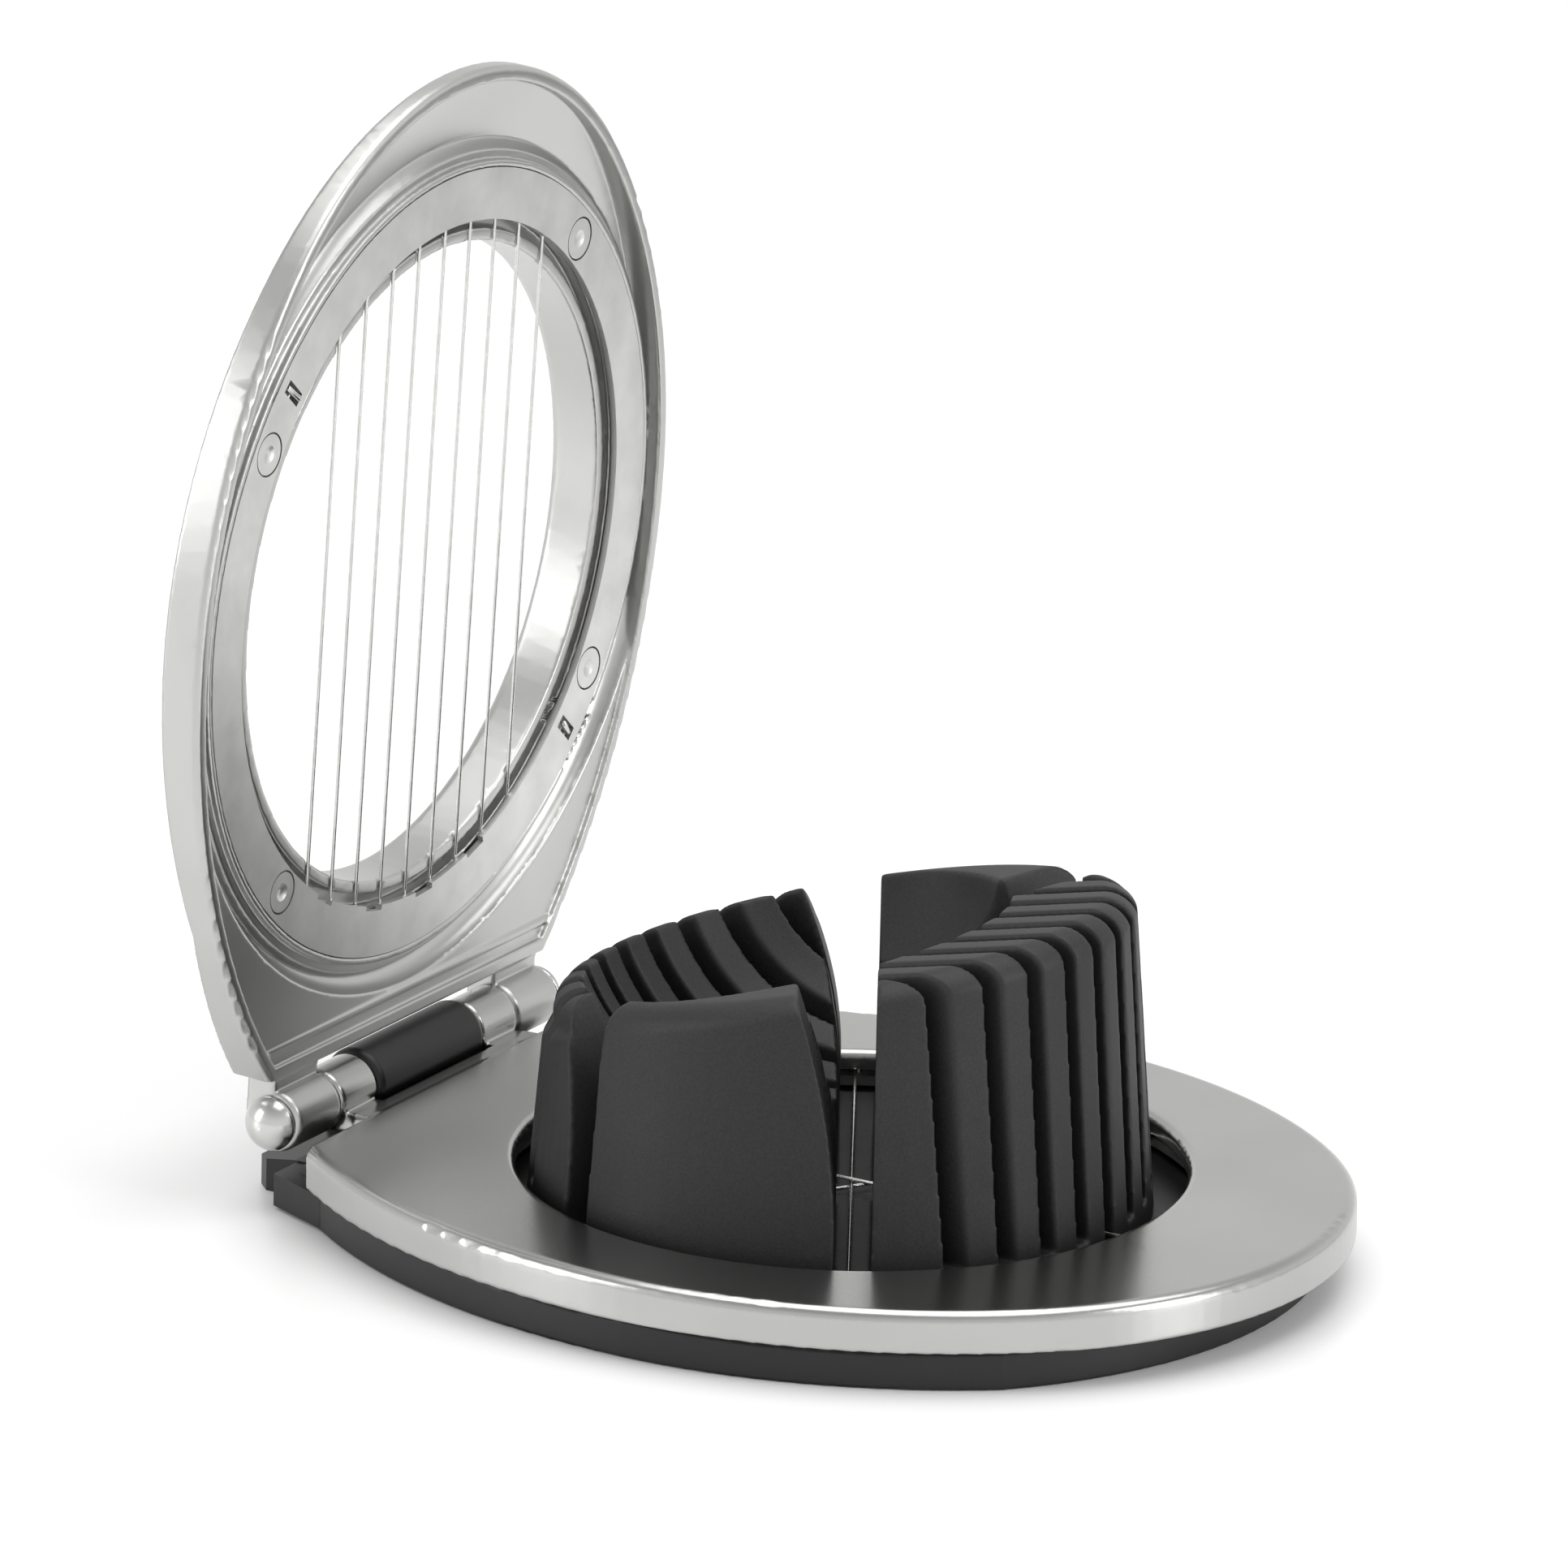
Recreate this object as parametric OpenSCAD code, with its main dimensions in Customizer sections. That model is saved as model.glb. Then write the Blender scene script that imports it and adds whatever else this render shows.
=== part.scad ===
// Egg slicer and wedger, open as it stands on a worktop.
// Three leaves share one hinge pin: a black moulded base with a slotted egg
// cradle, a cast wedger frame with three crossing wires that lies on the base,
// and a cast slicer arm with nine parallel wires that stands up at the back.
// Millimetres. +Z is up, z = 0 is the worktop, the origin is under the middle
// of the wedger's round opening, +X runs from the hinge to the front tip and
// +Y runs along the hinge. The whole object is within 1.5 mm of symmetric
// about the XZ plane except for the wire ends and the ring rivets.

/* [Outline] */
// Half of the overall width of the frames
half_width = 48.9; // [47:0.1:50]
// Front tip of the wedger frame
tip_x = 56.8; // [54:0.1:59]
// Straight rear edge of the wedger frame
rear_x = -51; // [-53:0.5:-49]
// How far the slicer arm's outline lies inside the wedger frame's
arm_inset = 0.6; // [0:0.1:1.2]

/* [Hinge] */
// Hinge axis, behind the opening
hinge_x = -57.6; // [-59:0.1:-56]
// Hinge axis, above the worktop
hinge_z = 9.9; // [9.5:0.1:10.5]
// Angle of the slicer arm above the wedger frame as it stands open
open_angle = 87; // [60:1:95]
// Radius of the metal knuckles
knuckle_r = 3.5; // [3:0.1:4]
// Radius of the hinge pin
pin_r = 1.6; // [1.2:0.1:2]
// Radius of the pin's domed heads
dome_r = 3.05; // [2.5:0.05:3.3]

/* [Wedger] */
// Top face of the wedger frame
plate_top = 9.2; // [8.5:0.1:10]
// Lower edge of the wedger frame's skirt
skirt_bottom = 4.4; // [4:0.1:5]
// Radius of the round opening in both frames
opening_r = 36.8; // [36:0.1:37.5]
// Radius of every cutting wire
wire_r = 0.2; // [0.15:0.05:0.3]
// Height of the middle wedge wire
wedge_z = 6.33; // [6:0.01:6.6]

/* [Slicer] */
// Spacing of the slicing wires
pitch = 5.2; // [4.8:0.05:5.5]
// Inner radius of the ring that clamps the slicing wires
ring_in = 38.6; // [38:0.1:39]
// Outer radius of the clamping rings
ring_out = 44.4; // [43:0.1:45]
// Radius of the slicer arm's own opening
arm_opening_r = 36; // [35.5:0.1:36.5]
// Radius of the slicer arm's domed outer face
arm_dome_r = 167; // [150:1:200]
// Crown of that dome above the hinge axis, with the arm closed
arm_crown = 11.5; // [10.5:0.1:12]

/* [Cradle] */
// Radius of the cradle at the top of the base
cradle_r = 34.3; // [33:0.1:35]
// Middle of the cradle, set a little towards the hinge
cradle_x = -1.4; // [-2:0.1:0]
// Height of the slanted top above the opening's middle
cradle_top = 35; // [34:0.1:37]
// Slope of the cradle's top, higher towards the front tip
top_slope = 12.7; // [0:0.1:15]
// Width of the slots for the slicing wires
slot_w = 1.9; // [1.5:0.1:2.2]
// Clear width on each side of a diagonal wedge wire
wedge_gap = 1.6; // [1.5:0.1:3]
// Radius of the rounded outer edge of the cradle's top
crown_r = 3.6; // [2:0.1:5]

/* [Base] */
// Top of the black base
base_top = 4.2; // [4:0.1:4.3]
// Rear end of the heel behind the hinge
heel_x = -63; // [-65:0.5:-61]

/* [Hidden] */
$fn = 96;
tiny = 0.01;
mid_x = -0.4;
side_r = 79.8;
flank_r = 64;
reach = tip_x - mid_x;
nose_r = (2 * half_width * flank_r - half_width * half_width - reach * reach)
    / (2 * flank_r - 2 * reach);
rim_h = plate_top + 0.3 - hinge_z;
wire_h = 1.35;
ring_h = 0.4;
lip_h = 1.4;
seat_h = wire_h + wire_r + 0.02;
arm_cx = -hinge_x;
rivet_angles = [41.5, 121, 221.5, 301];
wedge_rivet_angles = [30, 150, 210, 330];
tie_angles = [131.5, 311.5];
screw_spots = [[20, 13.5], [20, -13.5], [-21, 13.5], [-21, -13.5]];
pad_spots = [[40, 15], [40, -15], [-38, 27], [-38, -27]];
boss_top = plate_top - 2.23;
wedge_ring_top = wedge_z - 0.64;

black = [0.06, 0.06, 0.065];
silver = [0.74, 0.74, 0.75];
steel = [0.82, 0.82, 0.84];

// A round plate whose upper edge is rounded by rt and lower edge by rb.
module rounded_disc(r, z0, z1, rt, rb) {
    translate([0, 0, z0]) rotate_extrude() {
        h = z1 - z0;
        difference() {
            square([r, h]);
            if (rt > 0) difference() {
                translate([r - rt, h - rt]) square(rt + 1);
                translate([r - rt, h - rt]) circle(r = rt);
            }
            if (rb > 0) difference() {
                translate([r - rb, -1]) square([rb + 1, rb + 1]);
                translate([r - rb, rb]) circle(r = rb);
            }
        }
    }
}

// The lens where two discs mirrored about the XZ plane overlap.
module lens(r, inset, z0, z1, rt, rb) {
    intersection() {
        translate([mid_x, half_width - r, 0]) rounded_disc(r - inset, z0, z1, rt, rb);
        translate([mid_x, r - half_width, 0]) rounded_disc(r - inset, z0, z1, rt, rb);
    }
}

// A plate with the frames' egg-shaped outline, made of three tangent arcs a side.
module egg_plate(inset, back, z0, z1, rt = 0, rb = 0) {
    join_x = mid_x + (reach - nose_r) * flank_r / (flank_r - nose_r) - 0.06;
    intersection() {
        lens(side_r, inset, z0, z1, rt, rb);
        translate([back, -60, z0 - 1]) cube([mid_x - back, 120, z1 - z0 + 2]);
    }
    intersection() {
        lens(flank_r, inset, z0, z1, rt, rb);
        translate([mid_x, -60, z0 - 1]) cube([join_x - mid_x, 120, z1 - z0 + 2]);
    }
    intersection() {
        translate([mid_x + reach - nose_r, 0, 0]) rounded_disc(nose_r - inset, z0, z1, rt, rb);
        translate([join_x, -60, z0 - 1]) cube([60, 120, z1 - z0 + 2]);
    }
}

module ring(r0, r1, z0, z1) {
    translate([0, 0, z0]) difference() {
        cylinder(r = r1, h = z1 - z0);
        translate([0, 0, -1]) cylinder(r = r0, h = z1 - z0 + 2);
    }
}

// A cylinder along Y on the hinge axis, from y0 to y1.
module along_hinge(r, y0, y1) {
    translate([0, y0, 0]) rotate([-90, 0, 0]) cylinder(r = r, h = y1 - y0);
}

// A knuckle with softened ends, on the hinge axis.
module knuckle(r, y0, y1, soft) {
    translate([0, y0, 0]) rotate([-90, 0, 0]) rotate_extrude() difference() {
        square([r, y1 - y0]);
        for (s = [0, 1]) translate([r - soft, s * (y1 - y0 - 2 * soft) + soft])
            mirror([0, 1 - s]) difference() {
                square(soft + 1);
                circle(r = soft);
            }
        translate([0, -1]) square([pin_r + 0.05, y1 - y0 + 2]);
    }
}

module at_hinge() {
    translate([hinge_x, 0, hinge_z]) children();
}

// The slicer arm is described lying flat and closed, with x along the arm from
// the hinge and z towards its outer face, then turned up to its open angle.
module arm_pose() {
    at_hinge() rotate([0, -open_angle, 0]) children();
}

// ---------------------------------------------------------------- base body

module base_plate() {
    color(black) difference() {
        union() {
            // the tip is drawn in so that a finger can lift the frames
            intersection() {
                egg_plate(1.1, -56, 0, base_top, 0.4, 0.5);
                union() {
                    translate([2, 0, 0]) rounded_disc(tip_x - 6.6, -tiny, base_top + tiny, 0.4, 0.5);
                    translate([-60, -60, -1]) cube([62, 120, 8]);
                }
            }
            // square rear corners under the hinge
            translate([0, 0, 0.4]) linear_extrude(base_top - 0.55) polygon([[rear_x - 6.3, -27.3],
                [rear_x + 2, -31.1], [rear_x + 11, -34], [rear_x + 11, 34],
                [rear_x + 2, 31.1], [rear_x - 6.3, 27.3]]);
            // heel behind the hinge, sloping down to the rear
            difference() {
                translate([heel_x, -22.5, 0]) cube([10, 45, base_top]);
                translate([heel_x - 1, -30, 3.3]) rotate([0, -8, 0]) cube([9, 60, 4]);
                for (s = [-1, 1]) translate([heel_x, s * 22.5, -1]) rotate([0, 0, 45])
                    cube([2.4, 2.4, 12], center = true);
            }
            // pedestal that carries the middle knuckle
            translate([hinge_x - 3.4, -10.7, 2]) cube([6.8, 21.4, hinge_z - 2]);
            at_hinge() knuckle(3.85, -10.85, 10.85, 1);
        }
        // pin bore through the pedestal
        at_hinge() along_hinge(pin_r + 0.05, -12, 12);
        // underside pockets between the centre land, the ribs and the rim
        difference() {
            intersection() {
                translate([0, 0, -1]) egg_plate(4.4, -52, 0, 3.1);
                union() {
                    translate([2, 0, -2]) cylinder(r = tip_x - 10, h = 7);
                    translate([-60, -60, -3]) cube([62, 120, 9]);
                }
            }
            ring(13, 15, -2, 4);
            translate([0, 0, -2]) cylinder(r = 8, h = 6);
            for (a = [0 : 45 : 135]) rotate([0, 0, a]) cube([140, 1.6, 8], center = true);
            for (p = screw_spots) translate([p[0], p[1], -2]) cylinder(r = 4.4, h = 6);
            for (p = pad_spots) translate([p[0], p[1], -2]) cylinder(r = 6, h = 6);
        }
        for (p = screw_spots) translate([p[0], p[1], -1]) {
            cylinder(r = 1.6, h = 8);
            cylinder(r = 3, h = 2.6);
        }
        for (p = pad_spots) translate([p[0], p[1], -1]) cylinder(r = 4.55, h = 2.2);
    }
}

// Half-angle cone about the hinge axis that a diagonal wedge wire sweeps. The
// cradle keeps what lies inside it, so the wire passes just outside.
module swept_cone(side) {
    off = wedge_gap / sin(60);
    r0 = -hinge_x - 40 / tan(60) - off;
    r1 = -hinge_x + 40 / tan(60) - off;
    at_hinge() rotate([90, 0, 0]) translate([0, 0, -40])
        cylinder(r1 = side > 0 ? r1 : r0, r2 = side > 0 ? r0 : r1, h = 80, $fn = 180);
}

// The wide slot that one diagonal wire needs: an upright wall on the front side
// and a wall shaped like the wire's own sweep on the hinge side.
module wedge_slot(side) {
    difference() {
        rotate([0, 0, side * 60]) translate([-60, -12, base_top + 1.1 + side * 0.08])
            translate([0, side > 0 ? 12 - 2.4 : -40 + 12 + 2.4, 0]) cube([120, 40, 60]);
        swept_cone(side);
    }
}

module cradle_body() {
    difference() {
        intersection() {
            translate([cradle_x, 0, base_top])
                cylinder(r1 = cradle_r, r2 = cradle_r - 3.3, h = 42);
            // slanted, rounded crown, wide enough below not to touch the sides
            translate([cradle_x - 0.6, 0, cradle_top - 0.4]) rotate([0, -top_slope, 0])
                rotate_extrude() {
                    polygon([[0, -55], [62, -55], [62, -40], [32.4, -crown_r],
                        [32.4 - crown_r, 0], [0, 0]]);
                    translate([32.4 - crown_r, -crown_r]) circle(r = crown_r);
                }
        }
        // cup for the egg, a spindle about an axis along Y
        rotate([0, -top_slope, 0]) translate([0, 0, 38.9]) rotate([90, 0, 0])
            rotate_extrude() intersection() {
                translate([-6.4, 0]) circle(r = 29.7);
                translate([0, -40]) square([40, 80]);
            }
    }
}

module egg_cradle() {
    color(black) difference() {
        cradle_body();
        for (i = [-4 : 4]) translate([-60, i * pitch - slot_w / 2, plate_top - 2.2])
            cube([120, slot_w, 60]);
        translate([-60, -slot_w / 2, base_top + 0.9]) cube([120, slot_w, 60]);
        wedge_slot(1);
        wedge_slot(-1);
        for (p = screw_spots) translate([p[0], p[1], 0]) cylinder(r = 1.42, h = 9);
    }
}

module hinge_pin() {
    color(steel) at_hinge() along_hinge(pin_r, -27.4, 27.4);
}

module pin_domes() {
    color(steel) at_hinge() for (s = [-1, 1]) mirror([0, s > 0 ? 1 : 0, 0])
        translate([0, -27.4, 0]) rotate([90, 0, 0]) intersection() {
            rounded_disc(dome_r, 0, 2.5, 1.7, 0.25);
            translate([0, 0, -0.9]) sphere(r = 3.4);
        }
}

module cradle_screws() {
    color(steel) for (p = screw_spots) translate([p[0], p[1], 0]) difference() {
        union() {
            translate([0, 0, 0.4]) cylinder(r = 2.8, h = 1.2);
            cylinder(r = 1.4, h = 8.6);
            translate([0, 0, 0.4]) cylinder(r = 1.4, h = 8);
        }
        translate([0, 0, -1]) cylinder(r = 1.6, h = 1.4);
        for (a = [0, 90]) rotate([0, 0, a]) cube([3.4, 0.8, 2], center = true);
    }
}

module foot_pads() {
    color(black) for (p = pad_spots) translate([p[0], p[1], 0]) rounded_disc(4.5, 0, 1.2, 0, 0.3);
}

// -------------------------------------------------------------- wedger body

module wedger_frame() {
    color(silver) difference() {
        union() {
            difference() {
                egg_plate(0, rear_x, skirt_bottom, plate_top, 1.3, 0.35);
                egg_plate(2, rear_x + 1.8, skirt_bottom - 1, plate_top - 2);
            }
            // seat for the wires and their ring, under the top face
            intersection() {
                ring(opening_r, 45.6, boss_top, plate_top - 1.9);
                egg_plate(0.6, rear_x + 0.5, skirt_bottom, plate_top - 1);
            }
            for (a = wedge_rivet_angles) rotate([0, 0, a]) translate([46, 0, skirt_bottom + 0.5])
                cylinder(r = 1.2, h = 3.5);
            // tongue at the middle of the hinge
            translate([hinge_x + 4.5, -17.9, plate_top - 2.1]) cube([4, 35.8, 1.95]);
            for (s = [-1, 1]) {
                at_hinge() knuckle(knuckle_r, s > 0 ? 10.95 : -18.25, s > 0 ? 18.25 : -10.95, 0.5);
                translate([hinge_x, s * 14.6 - 3, hinge_z - knuckle_r + 0.15])
                    cube([6.5, 6, plate_top - hinge_z + knuckle_r - 0.4]);
            }
        }
        translate([0, 0, 0]) cylinder(r = opening_r, h = 20);
        // rounded lip of the opening
        translate([0, 0, plate_top - 0.9]) rotate_extrude() difference() {
            square([opening_r + 0.9, 2]);
            translate([opening_r + 0.9, 0]) circle(r = 0.9);
        }
        at_hinge() along_hinge(pin_r + 0.05, -30, 30);
    }
}

module wedger_ring() {
    color(silver) difference() {
        ring(ring_in, ring_out, skirt_bottom + 0.2, wedge_ring_top);
        for (a = wedge_rivet_angles) rotate([0, 0, a]) translate([41.3, 0, 0]) cylinder(r = 2.5, h = 12);
    }
}

// One straight wedge wire through the middle, with a bead at each end that sits
// between the frame's seat and the ring.
module wedge_wire(a, z) {
    color(steel) rotate([0, 0, a]) {
        translate([-40.5, 0, z]) rotate([0, 90, 0]) cylinder(r = wire_r, h = 81, $fn = 32);
        for (s = [-1, 1]) translate([s * 40.5, 0, wedge_ring_top])
            cylinder(r = 0.8, h = boss_top - wedge_ring_top, $fn = 32);
    }
}

module wedge_wire_1() { wedge_wire(0, wedge_z + 0.42); }
module wedge_wire_2() { wedge_wire(120, wedge_z); }
module wedge_wire_3() { wedge_wire(60, wedge_z - 0.42); }

module wedger_rivets() {
    color(silver) for (a = wedge_rivet_angles) rotate([0, 0, a]) translate([41.3, 0, 0]) {
        translate([0, 0, skirt_bottom + 0.35]) cylinder(r = 2.4, h = 0.7);
        translate([0, 0, skirt_bottom + 0.5]) cylinder(r = 1.8, h = boss_top - skirt_bottom - 0.5);
    }
}

// -------------------------------------------------------------- slicer body

// The dome of the arm's outer face, or the same surface t further in. At the
// hinge end a slight slope keeps the corners thick enough for the knuckles.
module arm_dome(t) {
    translate([arm_cx, 0, arm_crown - arm_dome_r]) rotate_extrude() intersection() {
        circle(r = arm_dome_r - t, $fn = 200);
        translate([0, arm_dome_r - 16]) square([64, 20]);
    }
    translate([0, -60, 4.95 - t]) rotate([0, 4.6, 0]) translate([-20, 0, -30]) cube([52, 120, 30]);
}

// Boss around the opening: a collar, a double step and a cove to the floor.
module arm_boss() {
    rotate_extrude() difference() {
        translate([arm_opening_r - 0.5, ring_h]) square([16, 9]);
        translate([45.2, -2]) square([12, 3.2]);
        translate([49.8, -0.4]) circle(r = 3.9);
        translate([49.8, -6]) square([12, 9.5]);
    }
}

module slicer_frame() {
    back_u = 5;
    color(silver) arm_pose() difference() {
        union() {
            intersection() {
                translate([arm_cx, 0, 0]) egg_plate(arm_inset, hinge_x + back_u, rim_h, 12, 0, 0.7);
                arm_dome(0);
            }
            for (s = [-1, 1]) {
                knuckle(knuckle_r, s > 0 ? 18.4 : -27.2, s > 0 ? 27.2 : -18.4, 0.7);
                translate([0, s * 22.8 - 4.4, 0]) cube([back_u + 1, 8.8, knuckle_r]);
            }
        }
        // hollow inside, up to the boss and the plateau
        difference() {
            intersection() {
                translate([arm_cx, 0, 0])
                    egg_plate(arm_inset + 1.7, hinge_x + back_u + 1.5, rim_h - 1, 11.5);
                arm_dome(1.9);
            }
            translate([arm_cx, 0, 0]) arm_boss();
            // raised plateau at the hinge end
            difference() {
                translate([back_u + 1, -50, 0.15]) cube([36, 100, 12]);
                translate([arm_cx, 0, -2.6]) rotate_extrude() {
                    square([46.3, 6]);
                    translate([46.3, 2.7]) circle(r = 2.2);
                }
            }
            translate([back_u + 2.9, -40, rim_h + 0.3]) cube([0.8, 80, 3]);
        }
        along_hinge(pin_r + 0.05, -40, 40);
        translate([arm_cx, 0, 0]) {
            translate([0, 0, -6]) cylinder(r = arm_opening_r, h = 30);
            // rounded outer lip of the opening
            translate([0, 0, 6.55]) rotate_extrude() difference() {
                square([arm_opening_r + 1, 3]);
                translate([arm_opening_r + 1, 0]) circle(r = 1);
            }
            // collar's front, the dark channel round it and the ring's seat
            ring(arm_opening_r - 1, 37.4, -3, lip_h);
            ring(37.4 - tiny, ring_in + 0.5, -3, seat_h + 1.6);
            ring(ring_in, ring_out + 0.08, -3, seat_h);
            // notches in the collar where the wires pass
            intersection() {
                translate([0, 0, -3]) cylinder(r = ring_in + 0.1, h = 12);
                for (i = [-4 : 4]) translate([-50, i * pitch - 0.35, -3])
                    cube([100, 0.7, 3 + wire_h + wire_r + 0.15]);
            }
            // pockets in the boss for the twisted wire ends
            for (a = tie_angles) rotate([0, 0, a])
                translate([ring_in + 0.7, -3, -3]) cube([5.2, 3.6, 5.6]);
            rotate([0, 0, tie_angles[0]]) translate([ring_out - 1, -5.4, -3]) cube([3.1, 8.6, 5.1]);
            rotate([0, 0, tie_angles[1]]) translate([37, -4.6, -3]) cube([2.6, 8.6, 6.4]);
        }
    }
}

module wire_ring() {
    color(silver) arm_pose() translate([arm_cx, 0, 0]) difference() {
        ring(ring_in, ring_out, ring_h, wire_h - wire_r - 0.02);
        for (a = rivet_angles) rotate([0, 0, a]) translate([41.3, 0, -1]) cylinder(r = 2.5, h = 4);
        for (a = tie_angles) rotate([0, 0, a]) translate([41.4, -0.3, 0]) cube([3.4, 1.6, 4], center = true);
        // shallow steps in its inner edge between pairs of wires, hinge end
        for (i = [-4 : 2 : 2]) rotate([0, 0, 180 - asin((i + 0.5) * pitch / ring_in)])
            translate([ring_in, 0, 0]) cube([1.1, 3.4, 4], center = true);
    }
}

// Slicing wires, numbered from -Y to +Y. One length of wire is strung to and
// fro, so a wire's ends run on under the ring.
module slicing_wire(i) {
    y = (i - 5) * pitch;
    half = sqrt(40.6 * 40.6 - y * y);
    color(steel) arm_pose() translate([arm_cx - half, y, wire_h]) rotate([0, 90, 0])
        cylinder(r = wire_r, h = 2 * half, $fn = 32);
}

module slicing_wire_1() { slicing_wire(1); }
module slicing_wire_2() { slicing_wire(2); }
module slicing_wire_3() { slicing_wire(3); }
module slicing_wire_4() { slicing_wire(4); }
module slicing_wire_5() { slicing_wire(5); }
module slicing_wire_6() { slicing_wire(6); }
module slicing_wire_7() { slicing_wire(7); }
module slicing_wire_8() { slicing_wire(8); }
module slicing_wire_9() { slicing_wire(9); }

// The two twisted ends of the wire, pushed out through slots in the ring.
module wire_ties() {
    color(steel) arm_pose() translate([arm_cx, 0, 0]) for (a = tie_angles) rotate([0, 0, a])
        translate([41.4, -0.3, 0]) {
            translate([0, 0, 0.35]) rotate([0, 82, 0]) cylinder(r = 0.42, h = 2.6, center = true, $fn = 32);
            translate([-0.9, 0, 0.45]) cylinder(r = 0.42, h = 1.8, $fn = 32);
        }
}

module ring_rivets() {
    color(silver) arm_pose() translate([arm_cx, 0, 0]) for (a = rivet_angles) rotate([0, 0, a])
        translate([41.3, 0, 0]) difference() {
            union() {
                translate([0, 0, ring_h + 0.05]) cylinder(r = 2.3, h = 0.6);
                translate([0, 0, ring_h + 0.3]) cylinder(r = 1.7, h = seat_h - ring_h - 0.3);
            }
            translate([0, 0, ring_h - 1.55]) sphere(r = 1.9);
        }
}

base_plate();
egg_cradle();
hinge_pin();
pin_domes();
cradle_screws();
foot_pads();
wedger_frame();
wedger_ring();
wedge_wire_1();
wedge_wire_2();
wedge_wire_3();
wedger_rivets();
slicer_frame();
wire_ring();
slicing_wire_1();
slicing_wire_2();
slicing_wire_3();
slicing_wire_4();
slicing_wire_5();
slicing_wire_6();
slicing_wire_7();
slicing_wire_8();
slicing_wire_9();
wire_ties();
ring_rivets();
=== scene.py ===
"""Egg slicer and wedger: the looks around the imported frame."""

import math

import bmesh
import bpy
from mathutils import Matrix, Vector


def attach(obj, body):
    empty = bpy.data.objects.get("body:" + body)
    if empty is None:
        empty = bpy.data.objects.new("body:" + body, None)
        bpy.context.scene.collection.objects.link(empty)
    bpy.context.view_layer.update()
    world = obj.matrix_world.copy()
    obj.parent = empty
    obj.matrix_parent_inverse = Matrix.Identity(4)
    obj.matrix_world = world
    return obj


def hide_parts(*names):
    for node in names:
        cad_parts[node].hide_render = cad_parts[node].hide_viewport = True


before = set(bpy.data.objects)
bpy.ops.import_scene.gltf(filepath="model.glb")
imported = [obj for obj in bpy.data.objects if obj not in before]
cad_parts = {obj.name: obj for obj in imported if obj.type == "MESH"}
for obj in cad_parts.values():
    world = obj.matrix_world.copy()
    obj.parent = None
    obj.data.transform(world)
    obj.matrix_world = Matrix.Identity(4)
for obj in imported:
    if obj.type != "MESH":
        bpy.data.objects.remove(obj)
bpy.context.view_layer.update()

bl_info = {
    "name": "Egg slicer",
    "version": (1, 0, 0),
    "blender": (4, 5, 0),
    "location": "View3D > Sidebar > Egg slicer",
    "description": "Finishes and small parts of an egg slicer and wedger, on its packed frame",
    "category": "Add Mesh",
}

MM = 0.001
HINGE = Vector((-57.6, 0.0, 9.9)) * MM
OPEN = math.radians(87)
RING_CENTRE = 57.6  # mm along the arm from the hinge to the middle of its opening
TIE_ANGLES = (131.5, 311.5)  # degrees round the ring, where the lacing wire ends


# ------------------------------------------------------------------ helpers


def linear(text):
    """An sRGB hex colour as the linear RGBA that Blender's nodes take."""
    out = []
    for i in (1, 3, 5):
        c = int(text[i : i + 2], 16) / 255
        out.append(c / 12.92 if c <= 0.04045 else ((c + 0.055) / 1.055) ** 2.4)
    return (*out, 1.0)


def add(tree, kind, settings=None, links=None):
    """Adds one node. settings sets properties and unlinked sockets, links feeds sockets from (node, output)."""
    node = tree.nodes.new(kind)
    for key, value in (settings or {}).items():
        if isinstance(key, str) and hasattr(node, key):
            setattr(node, key, value)
        else:
            node.inputs[key].default_value = value
    for key, (source, output) in (links or {}).items():
        tree.links.new(source.outputs[output], node.inputs[key])
    return node


def begin(name):
    """A new empty material with its Object coordinates and its shader."""
    mat = bpy.data.materials.new(name)
    mat.use_nodes = True
    tree = mat.node_tree
    tree.nodes.clear()
    coord = add(tree, "ShaderNodeTexCoord")
    shader = add(tree, "ShaderNodeBsdfPrincipled")
    out = add(tree, "ShaderNodeOutputMaterial", links={"Surface": (shader, "BSDF")})
    out.location = (600, 0)
    return mat, tree, coord, shader


def ramp(tree, source, output, stops):
    """A colour ramp over a 0 to 1 value, with its stops as (place, colour)."""
    node = add(tree, "ShaderNodeValToRGB", links={"Fac": (source, output)})
    line = node.color_ramp
    line.elements[0].position, line.elements[0].color = stops[0]
    line.elements[1].position, line.elements[1].color = stops[-1]
    for place, colour in stops[1:-1]:
        line.elements.new(place).color = colour
    return node


def span(tree, source, output, low, high):
    """A 0 to 1 value stretched to run from low to high."""
    return add(tree, "ShaderNodeMapRange", {"To Min": low, "To Max": high}, {"Value": (source, output)})


def noise(tree, source, output, mm, detail, roughness):
    """A noise whose cells are about mm wide."""
    settings = {"Scale": 1000.0 / mm, "Detail": detail, "Roughness": roughness}
    return add(tree, "ShaderNodeTexNoise", settings, {"Vector": (source, output)})


def dents(tree, source, strength, distance):
    """A bump from a noise, distance metres deep."""
    settings = {"Strength": strength, "Distance": distance}
    return add(tree, "ShaderNodeBump", settings, {"Height": (source, "Fac")})


def feed(tree, shader, colour, gloss, bump=None, metallic=0.0):
    """Links the colour, the roughness and any bump into the shader."""
    shader.inputs["Metallic"].default_value = metallic
    tree.links.new(colour.outputs["Color"], shader.inputs["Base Color"])
    tree.links.new(gloss.outputs["Result"], shader.inputs["Roughness"])
    if bump:
        tree.links.new(bump.outputs["Normal"], shader.inputs["Normal"])


# ---------------------------------------------------------------- materials


def soft_edge(tree, bump, radius):
    """Rounds every sharp edge in the shading alone, by the radius of the tumbled casting's edges."""
    edge = add(tree, "ShaderNodeBevel", {"samples": 8, "Radius": radius})
    tree.links.new(edge.outputs["Normal"], bump.inputs["Normal"])


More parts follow.
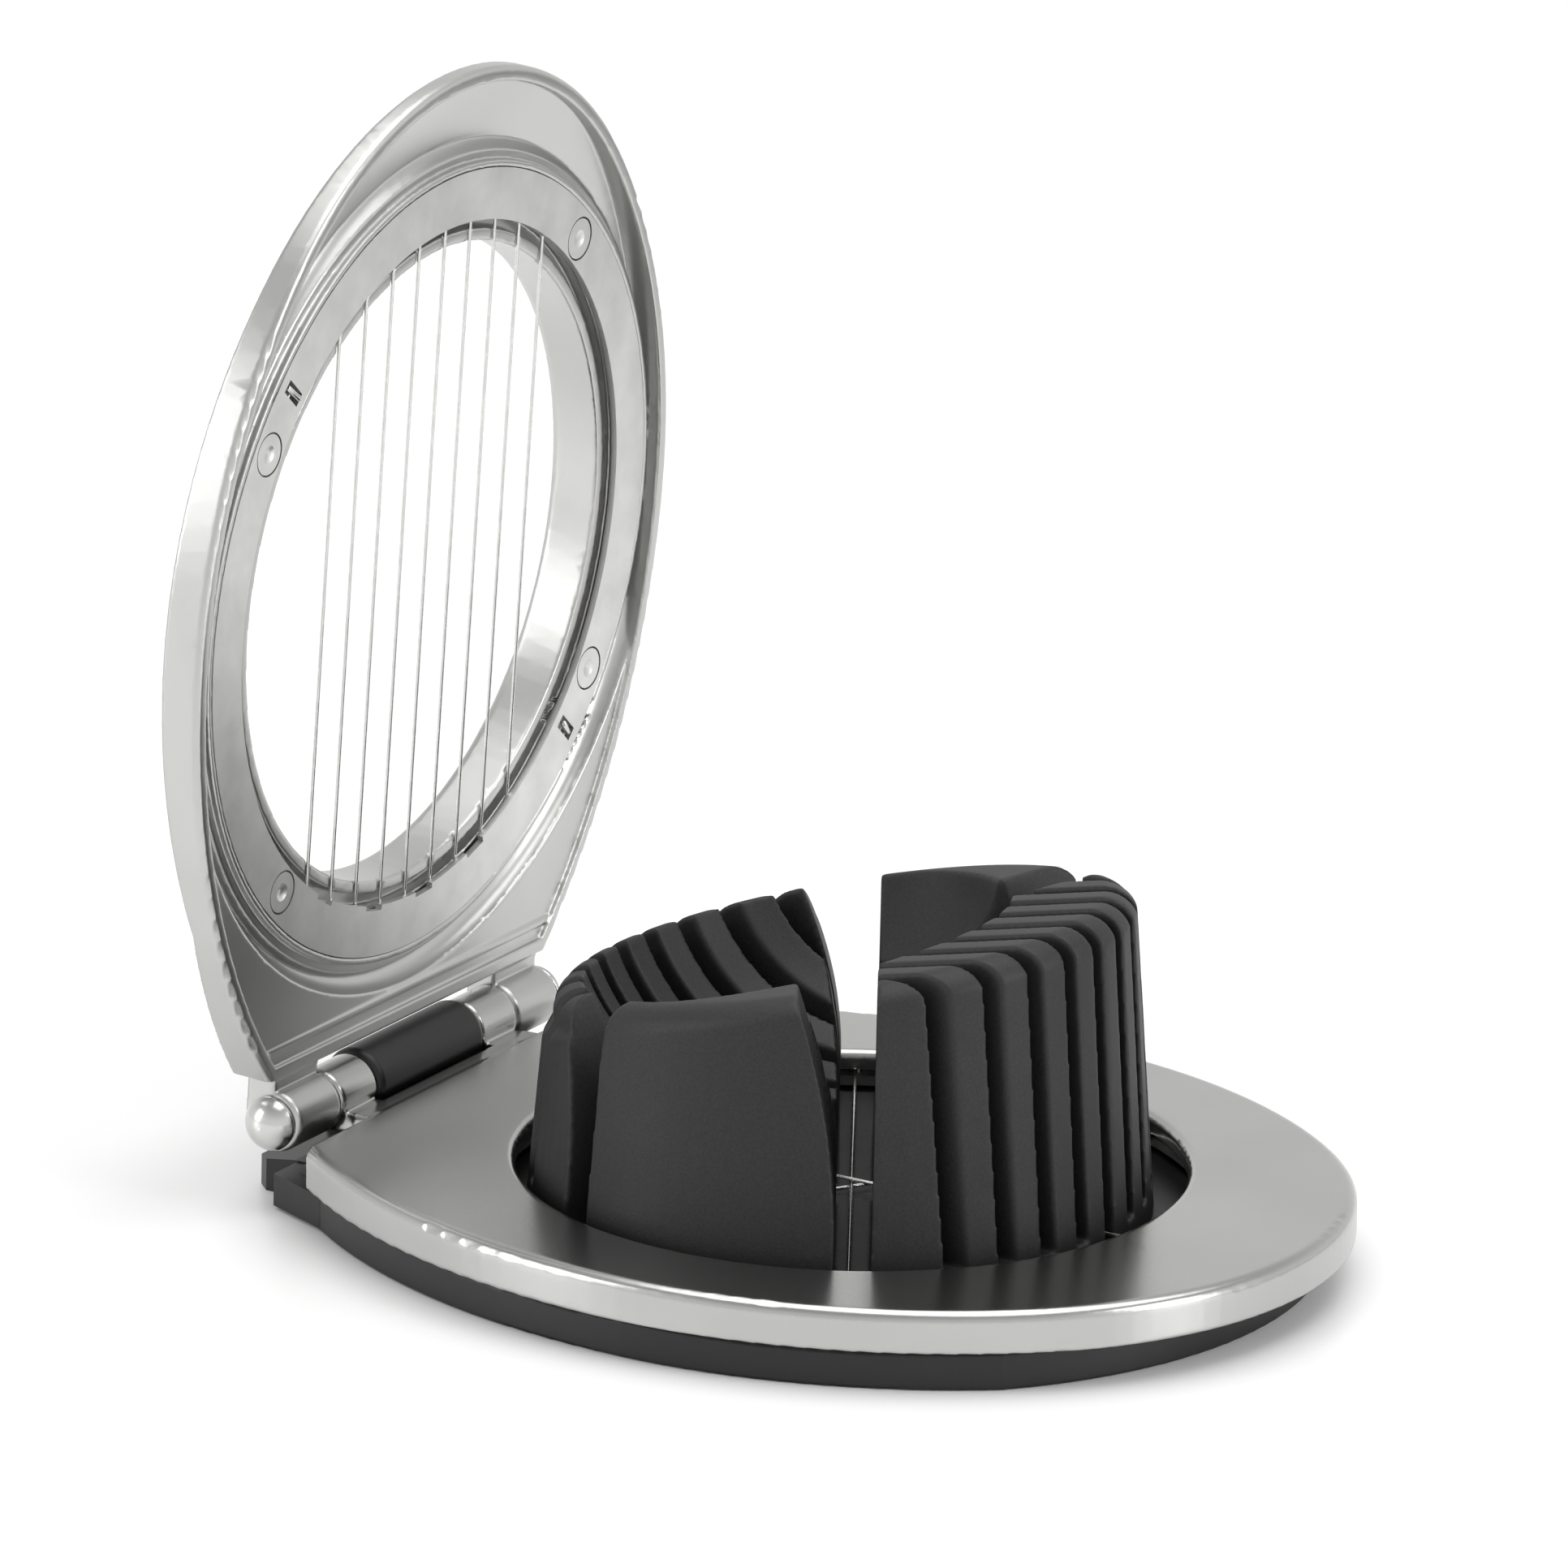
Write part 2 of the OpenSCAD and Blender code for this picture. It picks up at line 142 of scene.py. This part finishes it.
def satin_casting(name, rough, low="#b2b2b1", high="#bbbbb9", grit=0.35):
    """Pressure die-cast light alloy, bead-blasted and satin plated: a grey sheen over a very fine grit."""
    mat, tree, coord, shader = begin(name)
    fine = noise(tree, coord, "Object", grit, 3.0, 0.6)
    cloud = noise(tree, coord, "Object", 24, 2.0, 0.5)
    colour = ramp(tree, cloud, "Fac", [(0.3, linear(low)), (0.7, linear(high))])
    gloss = span(tree, fine, "Fac", rough - 0.05, rough + 0.06)
    bump = dents(tree, fine, 0.12, 0.02 * MM)
    soft_edge(tree, bump, 0.3 * MM)
    feed(tree, shader, colour, gloss, bump, metallic=1.0)
    return mat


def bare_ring(name):
    """Stamped aluminium ring, tumbled: bright, with faint scratches and handling marks."""
    mat, tree, coord, shader = begin(name)
    stretched = add(tree, "ShaderNodeMapping", {"Scale": (1.0, 6.0, 1.0)}, {"Vector": (coord, "Object")})
    scratch = noise(tree, stretched, "Vector", 0.9, 6.0, 0.7)
    cloud = noise(tree, coord, "Object", 7, 3.0, 0.55)
    colour = ramp(tree, cloud, "Fac", [(0.3, linear("#cacac8")), (0.7, linear("#dededc"))])
    gloss = span(tree, scratch, "Fac", 0.3, 0.52)
    bump = dents(tree, scratch, 0.25, 0.04 * MM)
    feed(tree, shader, colour, gloss, bump, metallic=1.0)
    return mat


def steel(name, rough, low, high, cell):
    """Drawn or turned stainless steel: bright and nearly even, its tone changing over cell millimetres."""
    mat, tree, coord, shader = begin(name)
    lines = noise(tree, coord, "Object", cell, 2.0, 0.5)
    colour = ramp(tree, lines, "Fac", [(0.3, linear(low)), (0.7, linear(high))])
    gloss = span(tree, lines, "Fac", rough - 0.04, rough + 0.06)
    feed(tree, shader, colour, gloss, metallic=1.0)
    return mat


def moulded_black(name, low, high, rough, grain, depth):
    """Injection-moulded ABS, black: a spark-eroded grain on the cradle, smoother on the base."""
    mat, tree, coord, shader = begin(name)
    pits = noise(tree, coord, "Object", grain, 2.0, 0.6)
    cloud = noise(tree, coord, "Object", 18, 2.0, 0.5)
    colour = ramp(tree, pits, "Fac", [(0.35, linear(low)), (0.65, linear(high))])
    gloss = span(tree, cloud, "Fac", rough - 0.04, rough + 0.05)
    bump = dents(tree, pits, 0.5, depth)
    feed(tree, shader, colour, gloss, bump)
    return mat


def round_edges(obj, depth, passes, keep, flat=False):
    """Rounds all of a moulding's or casting's edges.

    An even mesh of small cells keeps the edges, is smoothed, then thinned to a share of its faces.
    flat weighs the shading by face area, so that broad faces stay evenly lit.
    """
    weld = obj.modifiers.new("weld", "WELD")
    weld.merge_threshold = 0.01 * MM
    even = obj.modifiers.new("even", "REMESH")
    even.mode = "SHARP"
    even.octree_depth = depth
    even.scale = 0.95
    even.sharpness = 1.0
    even.use_remove_disconnected = False
    even.use_smooth_shade = True
    soft = obj.modifiers.new("soft", "SMOOTH")
    soft.factor = 0.5
    soft.iterations = passes
    light = obj.modifiers.new("light", "DECIMATE")
    light.ratio = keep
    if flat:
        even_light = obj.modifiers.new("even_light", "WEIGHTED_NORMAL")
        even_light.weight = 60


def finished(name, bm, mat):
    """The bmesh as an object at the origin, smooth shaded, with its material."""
    bmesh.ops.recalc_face_normals(bm, faces=bm.faces)
    mesh = bpy.data.meshes.new(name)
    bm.to_mesh(mesh)
    bm.free()
    for face in mesh.polygons:
        face.use_smooth = True
    mesh.materials.append(mat)
    obj = bpy.data.objects.new(name, mesh)
    bpy.context.scene.collection.objects.link(obj)
    return obj


# ----------------------------------------------------------- twisted wires


def twisted_pair(bm, turns, pitch):
    """Two strands of wire twisted round each other along Z, centred on the origin."""
    wire, off, steps = 0.26 * MM, 0.27 * MM, int(turns * 20)
    angle = math.tau * turns
    slope = math.atan2(math.tau * off, pitch)
    rise = (0, 0, turns * pitch / steps)
    for phase in (0, math.pi):
        start = Matrix.Translation((0, 0, -turns * pitch / 2)) @ Matrix.Rotation(phase, 4, "Z")
        start = start @ Matrix.Translation((off, 0, 0)) @ Matrix.Rotation(-slope, 4, "X")
        made = bmesh.ops.create_circle(bm, cap_ends=True, segments=12, radius=wire, matrix=start)
        disc = made["verts"]
        parts = set(disc) | {e for v in disc for e in v.link_edges} | {f for v in disc for f in v.link_faces}
        bmesh.ops.spin(
            bm, geom=list(parts), cent=(0, 0, 0), axis=(0, 0, 1), dvec=rise, angle=angle, steps=steps
        )
    bmesh.ops.holes_fill(bm, edges=[e for e in bm.edges if e.is_boundary])


def slot_stub(bm, place):
    """The short bent end of the wire that shows in the ring's slot, with softened rims."""
    radius, length, soft = 0.36 * MM, 2.6 * MM, 0.15 * MM
    made = bmesh.ops.create_cone(
        bm, cap_ends=True, segments=16, radius1=radius, radius2=radius, depth=length, matrix=place
    )
    edges = {e for v in made["verts"] for e in v.link_edges}
    rims = [e for e in edges if e.calc_face_angle(0) > 1]
    bmesh.ops.bevel(bm, geom=rims, offset=soft, segments=3, profile=0.5, affect="EDGES", material=-1)


def twisted_wire_ends(pitch):
    """The twisted ends of the lacing wire: at each tie a twist beside the ring and a stub in its slot.

    The first twist lies outside the ring and the second one inside it. Each is placed by its
    distance out from the ring's centre, its shift along the ring and its height, in mm.
    """
    bm = bmesh.new()
    to_ring = Matrix.Translation((RING_CENTRE * MM, 0, 0))
    arm = Matrix.Translation(HINGE) @ Matrix.Rotation(-OPEN, 4, "Y") @ to_ring
    twists = ((45.55, -1.2, 1.15, 2.6), (38.05, -0.3, 1.3, 2.9))
    for angle, (out, along, height, turns) in zip(TIE_ANGLES, twists):
        tie = arm @ Matrix.Rotation(math.radians(angle), 4, "Z")
        twist = bmesh.new()
        twisted_pair(twist, turns, pitch)
        spot = Matrix.Translation(Vector((out, along, height)) * MM)
        lie = tie @ spot @ Matrix.Rotation(math.radians(-86), 4, "X")
        bmesh.ops.transform(twist, matrix=lie, verts=twist.verts)
        slot = Matrix.Translation(Vector((41.4, -0.3, 0.45)) * MM)
        slot_stub(twist, tie @ slot @ Matrix.Rotation(math.radians(80), 4, "Y"))
        part = bpy.data.meshes.new("twist")
        twist.to_mesh(part)
        twist.free()
        bm.from_mesh(part)
        bpy.data.meshes.remove(part)
    return bm


def dress(node, mat):
    """Puts one material on every slot of a CAD node."""
    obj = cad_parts[node]
    if not obj.material_slots:
        obj.data.materials.append(mat)
    for s in obj.material_slots:
        s.material = mat
    return obj


# -------------------------------------------------------------------- stage


def paper(name, low, high, scale, rough):
    """A plain painted card or floor with a very faint mottle."""
    mat, tree, coord, shader = begin(name)
    haze = add(tree, "ShaderNodeTexNoise", {"Scale": scale}, {"Vector": (coord, "Object")})
    tone = ramp(tree, haze, "Fac", [(0.3, linear(low)), (0.7, linear(high))])
    tree.links.new(tone.outputs["Color"], shader.inputs["Base Color"])
    shader.inputs["Roughness"].default_value = rough
    return mat


def card(name, half, place, mat):
    """A flat square, half metres from its middle to each side."""
    mesh = bpy.data.meshes.new(name)
    bm = bmesh.new()
    bmesh.ops.create_grid(bm, x_segments=1, y_segments=1, size=half, matrix=place)
    bm.to_mesh(mesh)
    bm.free()
    mesh.materials.append(mat)
    obj = bpy.data.objects.new(name, mesh)
    bpy.context.scene.collection.objects.link(obj)
    return obj


def lamp(name, place, aim, size, power):
    """A soft box at place, turned towards aim."""
    data = bpy.data.lights.new(name, "AREA")
    data.shape = "RECTANGLE"
    data.size, data.size_y = size
    data.energy = power
    obj = bpy.data.objects.new(name, data)
    obj.location = place
    obj.rotation_mode = "QUATERNION"
    obj.rotation_quaternion = (Vector(aim) - Vector(place)).to_track_quat("-Z", "Y")
    bpy.context.scene.collection.objects.link(obj)


def camera():
    """A long lens from the front right, slightly above, with a small roll."""
    az, el, roll = math.radians(30.47), math.radians(17.58), math.radians(1.24)
    distance, lens = 1.90754, 400.734
    aim = Vector((-14.94, 9.02, 46.94)) * MM
    back = Vector((math.sin(az) * math.cos(el), -math.cos(az) * math.cos(el), math.sin(el)))
    level = Vector((math.cos(az), math.sin(az), 0))
    upright = back.cross(level)
    right = math.cos(roll) * level + math.sin(roll) * upright
    up = math.cos(roll) * upright - math.sin(roll) * level
    data = bpy.data.cameras.new("camera")
    data.sensor_width = 36.0
    data.lens = lens
    data.clip_start, data.clip_end = 0.05, 50.0
    obj = bpy.data.objects.new("camera", data)
    turn = Matrix((right, up, back)).transposed().to_4x4()
    obj.matrix_world = Matrix.Translation(aim + back * distance) @ turn
    bpy.context.scene.collection.objects.link(obj)
    return obj


# --------------------------------------------------------------- properties


class EGGSLICER_PG_finish(bpy.types.PropertyGroup):
    """Finishes that a user would change."""

    casting_rough: bpy.props.FloatProperty(
        name="Casting roughness",
        description="How satin the wedger's plate is",
        default=0.23,
        min=0.05,
        max=0.8,
    )
    arm_rough: bpy.props.FloatProperty(
        name="Arm roughness",
        description="How satin the blasted slicer arm is",
        default=0.33,
        min=0.05,
        max=0.8,
    )
    cradle_soften: bpy.props.IntProperty(
        name="Cradle softening",
        description="Smoothing passes that round the moulded cradle's edges",
        default=14,
        min=0,
        max=40,
    )
    twist_pitch: bpy.props.FloatProperty(
        name="Twist pitch",
        description="Length of one turn of the twisted wire ends",
        default=0.0022,
        unit="LENGTH",
        subtype="DISTANCE",
        min=0.001,
        max=0.01,
    )


# ---------------------------------------------------------------- operators


class EGGSLICER_OT_castings(bpy.types.Operator):
    """Finish the slicer arm and the wedger frame"""

    bl_idname = "eggslicer.castings"
    bl_label = "Castings"

    def execute(self, context):
        props = context.scene.eggslicer
        plate = satin_casting("satin_plated_alloy_casting", props.casting_rough)
        round_edges(dress("wedger_frame", plate), 9, 6, 0.25)
        arm = satin_casting("blasted_plated_alloy_casting", props.arm_rough, "#bcbcba", "#c6c6c4", 0.4)
        round_edges(dress("slicer_frame", arm), 9, 4, 0.2, flat=True)
        return {"FINISHED"}


class EGGSLICER_OT_rings(bpy.types.Operator):
    """Finish the clamping rings and their rivets"""

    bl_idname = "eggslicer.rings"
    bl_label = "Rings and rivets"

    def execute(self, context):
        mat = bare_ring("tumbled_aluminium_ring")
        for node in ("wire_ring", "ring_rivets", "wedger_ring", "wedger_rivets"):
            dress(node, mat)
        return {"FINISHED"}


class EGGSLICER_OT_wires(bpy.types.Operator):
    """Finish the wires and twist their ends"""

    bl_idname = "eggslicer.wires"
    bl_label = "Wires"

    def execute(self, context):
        mat = steel("drawn_stainless_wire", 0.26, "#cdcdcb", "#dcdcda", 1.5)
        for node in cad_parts:
            if node.startswith(("slicing_wire_", "wedge_wire_")):
                dress(node, mat)
        twists = twisted_wire_ends(context.scene.eggslicer.twist_pitch)
        ends = finished("twisted_wire_ends", twists, mat)
        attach(ends, "slicer")
        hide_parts("wire_ties")
        return {"FINISHED"}


class EGGSLICER_OT_hinge(bpy.types.Operator):
    """Finish the hinge pin and its domes"""

    bl_idname = "eggslicer.hinge"
    bl_label = "Hinge pin"

    def execute(self, context):
        mat = steel("nickel_plated_pin", 0.2, "#c8c8c6", "#d2d2d0", 9)
        for node in ("hinge_pin", "pin_domes"):
            dress(node, mat)
        return {"FINISHED"}


class EGGSLICER_OT_cradle(bpy.types.Operator):
    """Finish the egg cradle"""

    bl_idname = "eggslicer.cradle"
    bl_label = "Egg cradle"

    def execute(self, context):
        mat = moulded_black("grained_black_abs", "#131313", "#1e1e1e", 0.55, 0.3, 0.03 * MM)
        round_edges(dress("egg_cradle", mat), 8, context.scene.eggslicer.cradle_soften, 0.19)
        return {"FINISHED"}


class EGGSLICER_OT_base(bpy.types.Operator):
    """Finish the base, its screws and its pads"""

    bl_idname = "eggslicer.base"
    bl_label = "Base"

    def execute(self, context):
        dress("base_plate", moulded_black("smooth_black_abs", "#050505", "#090909", 0.42, 0.5, 0.01 * MM))
        dress("foot_pads", moulded_black("dull_black_rubber", "#161616", "#1d1d1d", 0.8, 0.6, 0.03 * MM))
        dress("cradle_screws", steel("zinc_plated_screw", 0.3, "#b0b0b3", "#c9c9cc", 1.2))
        return {"FINISHED"}


class EGGSLICER_OT_stage(bpy.types.Operator):
    """Make the pale floor, the soft lights and the camera"""

    bl_idname = "eggslicer.stage"
    bl_label = "Stage"

    def execute(self, context):
        scene = context.scene
        behind = Matrix.Translation((0.347, 0.494, 0.001)) @ Matrix.Rotation(math.radians(30.5), 4, "Z")
        floor = card("floor", 6.0, Matrix.Identity(4), paper("pale_floor", "#f4f4f4", "#f7f7f7", 3.0, 0.35))
        grey = card("grey_card", 0.33, behind, paper("grey_card", "#7e7e7d", "#848483", 5.0, 0.9))

        world = bpy.data.worlds.new("studio")
        scene.world = world
        world.use_nodes = True
        tree = world.node_tree
        tree.nodes.clear()
        sky = add(tree, "ShaderNodeTexCoord")
        level = add(tree, "ShaderNodeSeparateXYZ", links={"Vector": (sky, "Generated")})
        stops = [(0.0, linear("#fbfbfb")), (0.3, linear("#f3f3f3")), (0.85, linear("#b6b6b5"))]
        grade = ramp(tree, level, "Z", stops)
        back = add(tree, "ShaderNodeBackground", {"Strength": 0.98}, {"Color": (grade, "Color")})
        add(tree, "ShaderNodeOutputWorld", links={"Surface": (back, "Background")})

        lamp("top_box", (0.0, 0.1, 1.0), (0, 0, 0), (1.0, 1.0), 7.0)
        lamp("left_box", (-0.9, -0.9, 0.5), (0, 0, 0.05), (0.5, 0.7), 4.0)
        lamp("right_box", (1.1, 0.1, 0.5), (0, 0, 0.05), (0.4, 0.8), 5.0)

        scene.camera = camera()
        scene.view_settings.view_transform = "Standard"
        return {"FINISHED"}


class EGGSLICER_PT_panel(bpy.types.Panel):
    """Lists the steps and their sizes"""

    bl_label = "Egg slicer"
    bl_idname = "EGGSLICER_PT_panel"
    bl_space_type = "VIEW_3D"
    bl_region_type = "UI"
    bl_category = "Egg slicer"

    def draw(self, context):
        props = context.scene.eggslicer
        for name in props.bl_rna.properties.keys():
            if name not in ("rna_type", "name"):
                self.layout.prop(props, name)
        for op in OPERATORS:
            self.layout.operator(op.bl_idname)


OPERATORS = (
    EGGSLICER_OT_castings,
    EGGSLICER_OT_rings,
    EGGSLICER_OT_wires,
    EGGSLICER_OT_hinge,
    EGGSLICER_OT_cradle,
    EGGSLICER_OT_base,
    EGGSLICER_OT_stage,
)
CLASSES = (EGGSLICER_PG_finish, *OPERATORS, EGGSLICER_PT_panel)


def register():
    for cls in CLASSES:
        bpy.utils.register_class(cls)
    bpy.types.Scene.eggslicer = bpy.props.PointerProperty(type=EGGSLICER_PG_finish)


def unregister():
    del bpy.types.Scene.eggslicer
    for cls in reversed(CLASSES):
        bpy.utils.unregister_class(cls)


def main():
    register()
    for op in OPERATORS:
        group, name = op.bl_idname.split(".")
        getattr(getattr(bpy.ops, group), name)()


if __name__ == "__main__":
    main()
